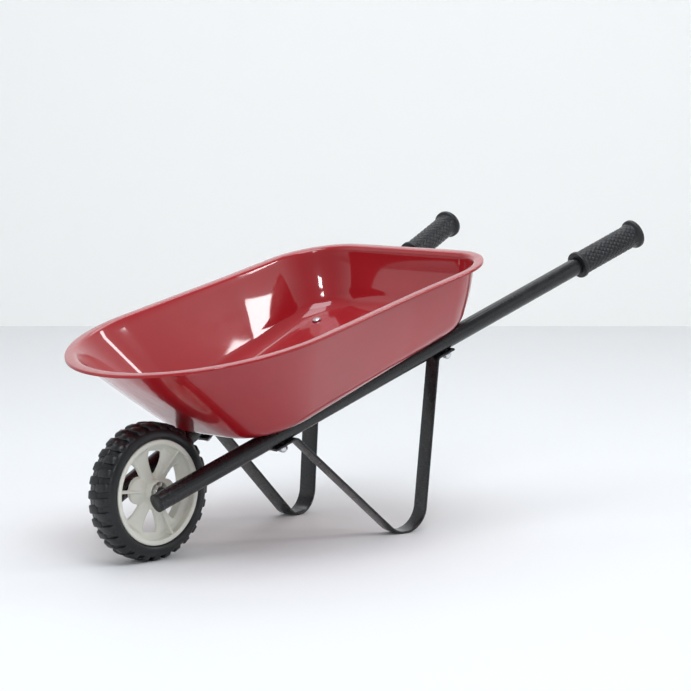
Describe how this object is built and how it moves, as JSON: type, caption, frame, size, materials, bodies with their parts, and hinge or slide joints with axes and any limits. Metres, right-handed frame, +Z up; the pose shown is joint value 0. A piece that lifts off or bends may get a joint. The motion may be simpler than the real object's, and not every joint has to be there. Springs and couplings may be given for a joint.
{
  "type": "wheelbarrow",
  "caption": "Small single-wheel barrow: deep red pressed tray on two straight black tubes with rubber grips, bent strap legs and a cream spoked wheel with a lugged tyre.",
  "frame": {"origin": "on the ground, midway along the overall length and on the middle plane", "axes": "+X from the wheel to the grips, +Y to the right of a person holding the grips, +Z up"},
  "size_m": [0.7926, 0.3624, 0.3731],
  "materials": {
    "tray_paint": "gloss",
    "tube_paint": "satin",
    "leg_paint": "satin",
    "grip_rubber": "matte",
    "plug_plastic": "matte",
    "fastener_steel": "bright zinc",
    "bush_plastic": "matte",
    "rim_plastic": "satin",
    "tyre_rubber": "matte"
  },
  "bodies": {
    "frame": {"tray": "tray_paint", "handle_tube_left": "tube_paint", "tube_plug_left": "plug_plastic", "grip_left": "grip_rubber", "leg_left": "leg_paint", "tray_bolt_left_front": "fastener_steel", "bolt_washer_left_front": "fastener_steel", "bolt_nut_left_front": "fastener_steel", "tray_bolt_left_back": "fastener_steel", "bolt_washer_left_back": "fastener_steel", "bolt_nut_left_back": "fastener_steel", "axle_washer_left": "fastener_steel", "axle_spacer_left": "bush_plastic", "axle_clip_left": "fastener_steel", "handle_tube_right": "tube_paint", "tube_plug_right": "plug_plastic", "grip_right": "grip_rubber", "leg_right": "leg_paint", "tray_bolt_right_front": "fastener_steel", "bolt_washer_right_front": "fastener_steel", "bolt_nut_right_front": "fastener_steel", "tray_bolt_right_back": "fastener_steel", "bolt_washer_right_back": "fastener_steel", "bolt_nut_right_back": "fastener_steel", "axle_washer_right": "fastener_steel", "axle_spacer_right": "bush_plastic", "axle_clip_right": "fastener_steel", "axle_rod": "fastener_steel"},
    "wheel": {"wheel_rim": "rim_plastic", "tyre": "tyre_rubber", "hub_bush_left": "bush_plastic", "hub_bush_right": "bush_plastic"}
  },
  "joints": [
    {"name": "wheel_spin", "type": "hinge", "parent": "frame", "child": "wheel", "pos_m": [-0.3157, 0, 0.0806], "axis": [0, 1, 0], "continuous": true}
  ]
}
